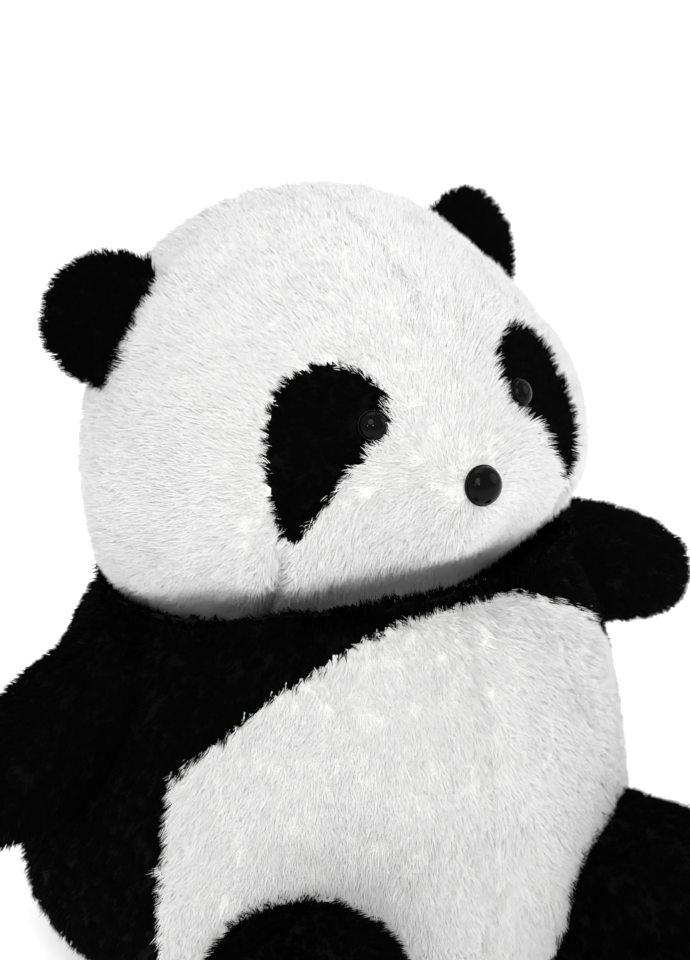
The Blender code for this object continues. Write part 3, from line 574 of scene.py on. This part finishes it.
def grown(name, cloth, body, finish, nap, wanted, density, length, lean, width, spread,
          seed, stands_for, draw=0.45):
    """Tufts by area; hair direction = normal x cos(lean) + nap x sin(lean) + jitter, per tuft."""
    rng = np.random.default_rng(seed)
    crosses = triangle_normals(cloth.points, cloth.triangles)
    areas = np.linalg.norm(crosses, axis=1) / 2
    tufts = int(areas.sum() * density * DENSITY_SHARE / HAIRS_PER_TUFT)
    chosen = np.searchsorted(np.cumsum(areas), rng.random(tufts) * areas.sum())
    weights = rng.random((2, tufts))
    weights = np.where(weights.sum(axis=0) > 1, 1 - weights, weights)
    weights = np.stack((1 - weights.sum(axis=0), *weights), axis=1)[:, :, None]
    corners = cloth.triangles[np.minimum(chosen, len(areas) - 1)]
    middles = (cloth.points[corners] * weights).sum(axis=1)
    normals = unit((cloth.normals[corners] * weights).sum(axis=1))
    kept = wanted(middles)
    middles, normals = middles[kept], normals[kept]
    tufts = len(middles)

    flow = nap(middles)
    flow = unit(flow - normals * (flow * normals).sum(axis=1, keepdims=True))
    side = np.cross(normals, flow)
    swirl = SWIRL_SLOW * waves(middles, SWIRL_LENGTH, seed + 1) + rng.normal(0, SWIRL_TUFT, tufts)
    flow = flow * np.cos(swirl)[:, None] + side * np.sin(swirl)[:, None]
    side = np.cross(normals, flow)
    angle = lean + LEAN_SLOW * waves(middles, LEAN_LENGTH, seed + 2) + rng.normal(0, LEAN_TUFT, tufts)
    angle = np.clip(angle, *LEAN_LIMITS)
    uneven = REACH_SLOW * waves(middles, REACH_LENGTH, seed + 3) + rng.normal(0, REACH_TUFT, tufts)
    tuft_length = length * (1 + uneven)
    aim = normals * np.cos(angle)[:, None] + flow * np.sin(angle)[:, None]
    tone = 0.5 + TONE_SLOW * waves(middles, TONE_LENGTH, seed + 4) + rng.normal(0, TONE_TUFT, tufts)
    tone = np.clip(tone, 0.02, 0.98)

    def each(rows):
        return np.repeat(rows, HAIRS_PER_TUFT, axis=0)

    count = tufts * HAIRS_PER_TUFT
    out, flow, side, tuft_normal = each(aim), each(flow), each(side), each(normals)
    offset = rng.normal(0, spread, (count, 2))
    roots = each(middles) + flow * offset[:, :1] + side * offset[:, 1:]
    reach = each(tuft_length) * (1 + rng.normal(0, REACH_HAIR, count))
    jitter = rng.normal(0, HAIR_JITTER, (count, 3))
    heading = unit(out + jitter - (flow * offset[:, :1] + side * offset[:, 1:]) * draw / length)
    tips = roots + heading * reach[:, None]
    tips[:, 2] = np.maximum(tips[:, 2], FLOOR_GAP * rng.uniform(0.3, 1.0, count))
    roots = roots - tuft_normal * width
    roots[:, 2] = np.maximum(roots[:, 2], FLOOR_GAP / 2)
    thick = width / 2 * rng.uniform(0.8, 1.2, (count, 1))
    first = unit(np.cross(heading, unit(rng.normal(size=(count, 3)))))
    second = np.cross(heading, first)
    points = np.empty((count, 4, 3))
    bent = np.empty((count, 4, 3))
    for corner in range(3):
        round_hair = first * cos(corner * 2 * pi / 3) + second * sin(corner * 2 * pi / 3)
        points[:, corner] = roots + round_hair * thick
        bent[:, corner] = unit(tuft_normal + NORMAL_ROUNDING * round_hair + NORMAL_JITTER * jitter)
    points[:, 3] = tips
    bent[:, 3] = unit(tuft_normal + NORMAL_JITTER * jitter)
    feet = np.arange(count)[:, None, None] * 4
    triangles = (feet + np.array(((0, 1, 3), (1, 2, 3), (2, 0, 3)))).reshape(-1, 3)
    across = np.clip(each(tone) + rng.normal(0, TONE_HAIR, count), 0.01, 0.99)[:, None, None]
    strip = np.array(((-STRAND_HALF, 0.0), (STRAND_HALF, 0.0), (0.0, 1.0)))
    strand_map = np.broadcast_to(strip, (count, 3, 3, 2)).copy()
    strand_map[..., 0] += across
    points, bent = points.reshape(-1, 3), bent.reshape(-1, 3)
    made = made_object(name, points, triangles, finish, body, bent, strand_map)
    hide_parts(*stands_for)
    print(f"{name}: {count} hairs")


def stuffed(name, cloth, body, grounds, stands_for):
    """The closed stuffed form under the pile; grounds lists finishes and where each one lies."""
    first = next(iter(grounds))
    made = made_object(name, cloth.points, cloth.triangles, first, body, cloth.normals)
    made.data.materials.clear()
    middles = cloth.points[cloth.triangles].mean(axis=1)
    slots = np.zeros(len(middles), np.int32)
    for index, (finish, where) in enumerate(grounds.items()):
        made.data.materials.append(GROUND[finish])
        if where is not None:
            slots[where(middles)] = index
    made.data.polygons.foreach_set("material_index", slots)
    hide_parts(*stands_for)


# %% [markdown]
# The eye patches are black teardrops let into the face.  A smooth closed curve through ten points gives
# the outline in a plane that faces the patch, and a point of the head belongs to the patch when its
# projection on that plane falls inside the curve.

# %% Eye patch outline
PATCH_MIDDLE = (0.078, -0.119, 0.024)
PATCH_OUTLINE = np.array((                # outwards and upwards from the middle, in metres
    (0.000, 0.044), (0.023, 0.034), (0.034, 0.006), (0.031, -0.034), (0.019, -0.060),
    (0.004, -0.044), (-0.018, -0.016), (-0.037, 0.006), (-0.035, 0.029), (-0.019, 0.041),
))


def smooth_outline(points, steps):
    """A closed Catmull-Rom curve: four neighbouring points weighted by cubics of the way between two."""
    p0, p1, p2, p3 = (np.roll(points, -shift, axis=0)[:, None, :] for shift in (-1, 0, 1, 2))
    t = (np.arange(steps) / steps)[None, :, None]
    curve = 2 * p1 + (p2 - p0) * t + (2 * p0 - 5 * p1 + 4 * p2 - p3) * t ** 2
    return 0.5 * (curve + (3 * p1 - p0 - 3 * p2 + p3) * t ** 3).reshape(-1, 2)


def patch_sides(points, side, grow=0.0):
    """True where a point of the head projects inside the outline, by counting edges to one side of it."""
    outward = unit(mirrored(PATCH_MIDDLE, side))
    across = unit(np.cross((0, 0, 1), outward)) * side
    up = np.cross(outward, across) * side
    local = points - HEAD_CENTRE
    x, y = local @ across, local @ up
    outline = smooth_outline(PATCH_OUTLINE, 6)
    outline = outline * (1 + grow / np.linalg.norm(outline, axis=1, keepdims=True))
    start, stop = outline, np.roll(outline, -1, axis=0)
    crosses = (start[:, 1] > y[:, None]) != (stop[:, 1] > y[:, None])
    slope = (stop[:, 0] - start[:, 0]) / (stop[:, 1] - start[:, 1] + 1e-12)
    beyond = x[:, None] < start[:, 0] + slope * (y[:, None] - start[:, 1])
    return ((crosses & beyond).sum(axis=1) % 2 == 1) & (local @ outward > 0.05)


def in_patch(points, grow=0.0):
    """True inside either eye patch, whose outline may be grown by a little."""
    return patch_sides(points, 1, grow) | patch_sides(points, -1, grow)


# %% [markdown]
# The head: one closed form for the stuffing, then eight panels of pile.  Each panel keeps the tufts whose
# feet lie on its own side of the seams.  No hair grows under a button or round the neck, and the nap runs
# back from the nose over the face and the crown, and down behind.

# %% Head
PILE_DEPTH = 0.0030                       # from the form down to the ground cloth
NECK_SHARE = 0.965                        # how far down a direction points before it counts as the neck
EYE_DIRECTION, EYE_RADIUS, EYE_DOME = (0.053, -0.131, 0.034), 0.0090, 0.0065
NOSE_DIRECTION, NOSE_HALF, NOSE_DOME = (0.0, -0.173, -0.003), (0.0130, 0.0125), 0.010


def head_points(ball, inset):
    """Centre + direction x (radius - inset)."""
    return HEAD_CENTRE + ball * (head_radius(ball) - inset)[:, None]


def on_head(direction, lift=0.0):
    """A point of the head's form in a direction, lifted off it, and the outward normal there."""
    middle = unit(direction)
    side = unit(np.cross((0, 0, 1), middle))
    near = unit(np.array((middle, middle + 0.03 * side, middle + 0.03 * np.cross(middle, side))))
    points = head_points(near, 0.0)
    normal = unit(np.cross(points[1] - points[0], points[2] - points[0]))
    return points[0] + normal * lift, normal


ball, ball_triangles = ball_grid(240, 160)
head_cloth = Cloth(head_points(ball, PILE_DEPTH), ball_triangles)
head_lumps = 0.0011 * waves(head_cloth.points, 0.075, FORM_SEED)
head_lumps = head_lumps + 0.0005 * waves(head_cloth.points, 0.03, 7)
head_cloth = head_cloth.sunk(head_seams(head_cloth.points) + head_lumps)
stuffed(
    "head_cushion", head_cloth, "head",
    {"white_plush": None, "black_plush": lambda p: in_patch(p, 0.001)}, ("head_stuffing",),
)
BUTTONS = [(on_head(mirrored(EYE_DIRECTION, side))[0], EYE_RADIUS) for side in (1, -1)]
BUTTONS.append((on_head(NOSE_DIRECTION)[0], NOSE_HALF[0]))


def clear_of_buttons(points):
    """Points that no eye or nose covers."""
    free = np.ones(len(points), bool)
    for middle, radius in BUTTONS:
        free &= np.linalg.norm(points - middle, axis=1) > radius * 0.97
    return free


def head_nap(points):
    """Backwards from the nose over the face and the crown, and down the back of the head."""
    behind = fade((points - HEAD_CENTRE)[:, 1], 0.0, 0.12)[:, None]
    return (1 - behind) * np.array((0, 1.0, -0.10)) + behind * np.array((0, 0.2, -1.0))


def head_region(side, part):
    """Which tufts belong to a panel: face, cheek and back, split by the seams' planes."""
    def wanted(points):
        local = points - HEAD_CENTRE
        mine = (local[:, 0] * side > 0) & clear_of_buttons(points) & ~inside_neck(points)
        patch = in_patch(points)
        if part == "eye_patch":
            return mine & patch
        back = local[:, 1] > EAR_LINE_Y
        if part == "back_head":
            return mine & back
        outer = np.abs(local[:, 0]) * CHEEK_NORMAL[0] + local[:, 1] * CHEEK_NORMAL[1] > CHEEK_OFFSET
        return mine & ~back & ~patch & (outer == (part == "cheek"))
    return wanted


def inside_neck(points):
    """Points under the head, round the neck, where the body hides the cloth."""
    return (points - HEAD_CENTRE)[:, 2] < -NECK_SHARE * np.linalg.norm(points - HEAD_CENTRE, axis=1)


WHITE_PILE = {"length": 0.0080, "lean": 0.90, "width": 0.00090, "spread": 0.0018, "draw": 0.15}
BLACK_PILE = {"length": 0.0092, "lean": 0.85, "width": 0.0012, "spread": 0.0019}
PATCH_PILE = {"length": 0.0070, "lean": 0.85, "width": 0.0008, "spread": 0.0010}
HEAD_DENSITIES = {"face": 0.98e6, "cheek": 0.98e6, "back_head": 0.62e6}   # hairs to the square metre
PATCH_DENSITY = 1.2e6
for side, word in WORDS.items():
    for part, density in HEAD_DENSITIES.items():
        grown(
            f"{word}_{part}_fur", head_cloth, "head", "white_plush", head_nap, head_region(side, part),
            density, **WHITE_PILE, seed=40 + 10 * side + len(part), stands_for=(f"{word}_{part}_panel",),
        )
    grown(
        f"{word}_eye_patch_fur", head_cloth, "head", "black_plush", head_nap,
        head_region(side, "eye_patch"), PATCH_DENSITY, **PATCH_PILE, seed=60 + side,
        stands_for=(f"{word}_eye_patch",),
    )

# %% [markdown]
# The body: a closed stuffed pear, with a black yoke over the chest, a white belly in two halves, a black
# back and a round seat.  The nap runs down and slightly outwards, as brushed plush lies.

# %% Body
SEAT_RADIUS, SEAT_TOP = 0.108, 0.02
BOWL_HALF, BOWL_LEAST_Z = (0.135, 0.120), 0.15
YOKE_DENSITY, BELLY_DENSITY, BACK_DENSITY, SEAT_DENSITY = 0.56e6, 0.92e6, 0.38e6, 0.35e6
SHORT_PILE = {"length": 0.0040, "lean": 1.15, "width": 0.0011, "spread": 0.0019}
body_ball, body_triangles = ball_grid(260, 150)
form = below_head(body_points(body_ball, PILE_DEPTH), PILE_DEPTH)
body_cloth = Cloth(form, body_triangles)
above_seat = fade(body_cloth.points[:, 2], 0.010, 0.045)
body_lumps = 0.0014 * waves(body_cloth.points, 0.085, FORM_SEED + 1) * above_seat
body_cloth = body_cloth.sunk(body_seams(body_cloth.points) * above_seat + body_lumps)


def body_part(points):
    """Which panel a point lies on: 0 seat, 1 yoke, 2 belly or 3 back."""
    heading = np.abs(heading_of(points))
    edge = YOKE_FRONT_Z - YOKE_SIDE_DROP * (heading / SIDE_SEAM) ** YOKE_POWER
    part = np.where(heading > SIDE_SEAM, 3, np.where(points[:, 2] > edge, 1, 2))
    seated = (np.hypot(points[:, 0], points[:, 1]) < SEAT_RADIUS) & (points[:, 2] < SEAT_TOP)
    return np.where(seated, 0, part)


def under_head(points):
    """Points deep in the bowl below the head, where no pile could stand."""
    flat = np.hypot(points[:, 0] / BOWL_HALF[0], points[:, 1] / BOWL_HALF[1])
    return (flat < 1) & (points[:, 2] > BOWL_LEAST_Z)


def in_root(points, limb, share=0.70):
    """Points of the body that a limb's root covers."""
    offset = points - limb.pivot
    reach = offset @ limb.along
    aside = np.linalg.norm(offset - reach[:, None] * limb.along, axis=1)
    return (aside < max(limb.halves) * share) & (reach > -limb.root)


LIMBS = [form_of(side) for side in WORDS for form_of in (arm_form, leg_form)] + [tail_form()]


def body_region(parts, side=0):
    """Which tufts belong to a panel of the body; side 0 takes both halves."""
    def wanted(points):
        mine = np.isin(body_part(points), parts) & ~under_head(points)
        for limb in LIMBS:
            mine &= ~in_root(points, limb)
        return mine & (points[:, 0] * side >= 0)
    return wanted


def body_nap(points):
    """Downwards, a little away from the middle of the belly, and outwards round the head's bowl."""
    outwards = points * (1, 0, 0) * 2.0
    at_bowl = fade(points[:, 2], 0.21, 0.26)[:, None]
    return np.array((0.0, 0.0, -1.0)) + outwards + at_bowl * unit(points * (1, 1, 0))


stuffed(
    "body_cushion", body_cloth, "torso",
    {"black_plush": None, "white_plush": lambda p: body_part(p) == 2}, ("body_stuffing",),
)
grown(
    "chest_yoke_fur", body_cloth, "torso", "black_plush", body_nap, body_region((1,)),
    YOKE_DENSITY, **BLACK_PILE, seed=101, stands_for=("chest_yoke",),
)
for side, word in WORDS.items():
    grown(
        f"{word}_belly_fur", body_cloth, "torso", "white_plush", body_nap, body_region((2,), side),
        BELLY_DENSITY, **WHITE_PILE, seed=110 + side, stands_for=(f"{word}_belly_panel",),
    )
    grown(
        f"{word}_back_fur", body_cloth, "torso", "black_plush", body_nap, body_region((3,), side),
        BACK_DENSITY, **BLACK_PILE, seed=120 + side, stands_for=(f"{word}_back_panel",),
    )
grown(
    "seat_fur", body_cloth, "torso", "black_plush", body_nap, body_region((0,)),
    SEAT_DENSITY, **SHORT_PILE, seed=130, stands_for=("seat_panel",),
)

# %% [markdown]
# Limbs, ears and tail share one routine: a closed stuffed egg, a seam valley where its two panels meet,
# and the pile, whose nap runs from the body out to the limb's end.


# %% Limbs, ears and tail
ARM_DENSITY, LEG_DENSITY, SOLE_DENSITY, EAR_DENSITY, TAIL_DENSITY = 0.55e6, 0.50e6, 0.55e6, 1.3e6, 1.2e6
EAR_PILE = {"length": 0.0085, "lean": 0.75, "width": 0.0009, "spread": 0.0017}
UPRIGHT = np.array((0.0, 0.0, 1.0))


def limb_cloth(form, grid, inset, seam_axis, seam_depth, lumps, seed):
    """The egg's cloth, sunk along the plane through its pivot that its seam follows."""
    ball, triangles = ball_grid(*grid)
    cloth = Cloth(form.points(ball, inset), triangles)
    distance = (cloth.points - form.pivot) @ seam_axis
    along = fade((cloth.points - form.pivot) @ form.along, 0.0, 0.02)
    waviness = lumps * waves(cloth.points, 0.06, seed)
    return cloth.sunk(valley(distance, 0.003, seam_depth) * along + waviness)


def along_limb(form):
    """The nap of a limb: outwards along it, and a little down."""
    def nap(points):
        return form.along + np.array((0, 0, -0.25)) + np.zeros_like(points)
    return nap


def beyond_root(form, axis, sign, least, end=None):
    """Tufts on one side of the seam plane, past the buried root, and before or on the flat end."""
    def wanted(points):
        offset = points - form.pivot
        reach = offset @ form.along
        mine = ((offset @ axis) * sign > 0) & (reach > least)
        return mine & (reach < end) if end else mine
    return wanted


for side, word in WORDS.items():
    arm = arm_form(side)
    seam = np.array((0.0, 1.0, 0.0))
    cloth = limb_cloth(arm, (96, 72), PILE_DEPTH, seam, 0.0018, 0.0010, 140 + side)
    stuffed(
        f"{word}_arm_cushion", cloth, f"{word}_arm", {"black_plush": None}, (f"{word}_arm_stuffing",),
    )
    for part, sign in (("front", -1), ("back", 1)):
        grown(
            f"{word}_arm_{part}_fur", cloth, f"{word}_arm", "black_plush", along_limb(arm),
            beyond_root(arm, seam, sign, -0.020), ARM_DENSITY, **BLACK_PILE, seed=150 + side * 3 + sign,
            stands_for=(f"{word}_arm_{part}_panel",),
        )

    leg = leg_form(side)
    seam = UPRIGHT
    cloth = limb_cloth(leg, (110, 84), PILE_DEPTH, seam, 0.0018, 0.0009, 160 + side)
    stuffed(
        f"{word}_leg_cushion", cloth, f"{word}_leg", {"black_plush": None}, (f"{word}_leg_stuffing",),
    )
    flat_end = leg.end - PILE_DEPTH - 0.002
    for part, sign in (("upper", 1), ("under", -1)):
        grown(
            f"{word}_leg_{part}_fur", cloth, f"{word}_leg", "black_plush", along_limb(leg),
            beyond_root(leg, seam, sign, -0.010, flat_end), LEG_DENSITY, **BLACK_PILE,
            seed=170 + side * 3 + sign, stands_for=(f"{word}_leg_{part}_panel",),
        )
    grown(
        f"{word}_sole_fur", cloth, f"{word}_leg", "black_plush", lambda p: np.zeros_like(p) - UPRIGHT,
        lambda p, leg=leg, end=flat_end: (p - leg.pivot) @ leg.along >= end, SOLE_DENSITY, **SHORT_PILE,
        seed=180 + side, stands_for=(f"{word}_sole",),
    )

    ear = ear_form(side)
    seam = ear.up * np.sign(ear.up[1])
    cloth = limb_cloth(ear, (80, 56), 0.0022, seam, 0.0, 0.0006, 190 + side)
    stuffed(
        f"{word}_ear_cushion", cloth, f"{word}_ear", {"black_plush": None}, (f"{word}_ear_wadding",),
    )
    for part, sign in (("front", -1), ("back", 1)):
        grown(
            f"{word}_ear_{part}_fur", cloth, f"{word}_ear", "black_plush", along_limb(ear),
            beyond_root(ear, seam, sign, -0.004), EAR_DENSITY, **EAR_PILE,
            seed=200 + side * 3 + sign, stands_for=(f"{word}_ear_{part}_panel",),
        )

tail = tail_form()
seam = np.array((1.0, 0.0, 0.0))
cloth = limb_cloth(tail, (80, 56), 0.0025, seam, 0.0012, 0.0006, 210)
stuffed("tail_cushion", cloth, "tail", {"white_plush": None}, ("tail_wadding",))
for part, sign in (("left", 1), ("right", -1)):
    grown(
        f"tail_{part}_fur", cloth, "tail", "white_plush", along_limb(tail),
        beyond_root(tail, seam, sign, 0.0), TAIL_DENSITY, **WHITE_PILE, seed=220 + sign,
        stands_for=(f"tail_{part}_panel",),
    )

# %% [markdown]
# An eye is a safety button: a glossy dome with a thin rim, and a stem that goes through the cloth to a
# washer behind it.  The nose is a wider, slightly flattened dome.  Each is a profile turned round the
# normal of the head's surface.


# %% Eyes and nose
def button(name, direction, halves, dome, rim):
    """Profile radius and height, from the dome's top over the rim and down the stem, turned full circle."""
    middle, outward = on_head(direction, 0.0010)
    across = unit(np.cross((0, 0, 1), outward))
    up = np.cross(outward, across)
    arc = np.linspace(0, pi / 2, 34)[1:]
    lip = np.linspace(0, pi / 2, 8)
    radius = np.concatenate((
        np.sin(arc) * (1 - rim), 1 - rim + rim * np.sin(lip) * 0.7, 1 - 0.3 * rim * (1 - np.cos(lip)),
        (0.90, 0.28, 0.27, 0.27, 0.24),
    ))
    height = np.concatenate((
        dome * (0.16 + 0.84 * np.cos(arc)), dome * (0.13 + 0.03 * np.cos(lip)),
        dome * (0.13 - 0.20 * np.sin(lip)), (-0.0010, -0.0012, -0.006, -0.016, -0.0175),
    ))
    turn = np.arange(96) * 2 * pi / 96
    ring = radius[:, None, None] * np.stack((np.cos(turn) * halves[0], np.sin(turn) * halves[1]), axis=-1)
    flat = ring.reshape(-1, 2)
    lifted = np.repeat(height, len(turn))
    points = middle + flat[:, :1] * across + flat[:, 1:] * up + lifted[:, None] * outward
    ends = middle + np.outer((dome, -0.0178), outward)
    points = np.vstack((points, ends))
    rows = len(radius) + 1
    _, triangles = ball_grid(len(turn), rows)
    made = made_object(name + "_button", points, triangles, "black_gloss_plastic", "head")
    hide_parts(name)


for side, word in WORDS.items():
    button(f"{word}_eye", mirrored(EYE_DIRECTION, side), (EYE_RADIUS, EYE_RADIUS), EYE_DOME, 0.06)
button("nose", NOSE_DIRECTION, NOSE_HALF, NOSE_DOME, 0.06)

# %% [markdown]
# A plain pale floor and soft studio light: a bright even surround, a large soft key light high in front,
# a fill on the other side, a top light behind, and two small lamps that put a spark on each button.  A
# long lens stands well back and looks down on the head a little.

# %% Floor, light and camera
AZIMUTH, ELEVATION = radians(-33), radians(21)
CAMERA_BACK = (sin(AZIMUTH) * cos(ELEVATION), -cos(AZIMUTH) * cos(ELEVATION), sin(ELEVATION))
CAMERA_PLACE = HEAD_CENTRE + np.array((-0.9159, -1.4304, 0.5983))
LENS_MM, SENSOR_MM = 105.6, 36.0


def pointed(made, place, back):
    """The object at a place, with its own Z axis along back and its X axis level."""
    right = unit(np.cross((0, 0, 1), back))
    up = np.cross(back, right)
    rows = np.column_stack((right, up, back, place))
    made.matrix_world = Matrix(np.vstack((rows, (0, 0, 0, 1))).tolist())
    bpy.context.scene.collection.objects.link(made)
    return made


camera = bpy.data.cameras.new("camera")
camera.lens, camera.sensor_width = LENS_MM, SENSOR_MM
camera.clip_start, camera.clip_end = 0.05, 50.0
camera_object = bpy.data.objects.new("camera", camera)
bpy.context.scene.camera = pointed(camera_object, CAMERA_PLACE, unit(CAMERA_BACK))

LIGHTS = (                                # name, place, size in metres, power in watts
    ("key light", (-1.3, -1.7, 2.4), 1.5, 30.0),
    ("fill light", (2.0, -1.2, 1.3), 1.6, 11.0),
    ("top light", (0.2, 0.6, 2.6), 1.6, 9.0),
    ("left spark", (-1.75, -1.30, 1.15), 0.14, 4.0),
    ("right spark", (-0.80, -1.90, 1.30), 0.14, 4.0),
)
for name, place, size, power in LIGHTS:
    lamp = bpy.data.lights.new(name, "AREA")
    lamp.shape, lamp.size, lamp.energy = "DISK", size, power
    pointed(bpy.data.objects.new(name, lamp), place, unit(np.array(place) - HEAD_CENTRE))

world = bpy.data.worlds.new("surround")
world.use_nodes = True
world.node_tree.nodes["Background"].inputs["Color"].default_value = (1.0, 1.0, 1.0, 1.0)
world.node_tree.nodes["Background"].inputs["Strength"].default_value = 0.78
bpy.context.scene.world = world
bpy.context.scene.view_settings.view_transform = "Standard"

pale = Finish("pale floor", Base_Color=(0.93, 0.93, 0.93, 1), Roughness=0.9, Emission_Color=(1, 1, 1, 1))
pale.set(Emission_Strength=0.45)
FLOOR_HALF = 20.0
corners = np.array(((-1, -1, 0), (1, -1, 0), (1, 1, 0), (-1, 1, 0)), float) * FLOOR_HALF
floor_mesh = bpy.data.meshes.new("floor")
floor_mesh.from_pydata(corners.tolist(), [], [(0, 1, 2, 3)])
floor_mesh.materials.append(pale.material)
floor = bpy.data.objects.new("floor", floor_mesh)
bpy.context.scene.collection.objects.link(floor)
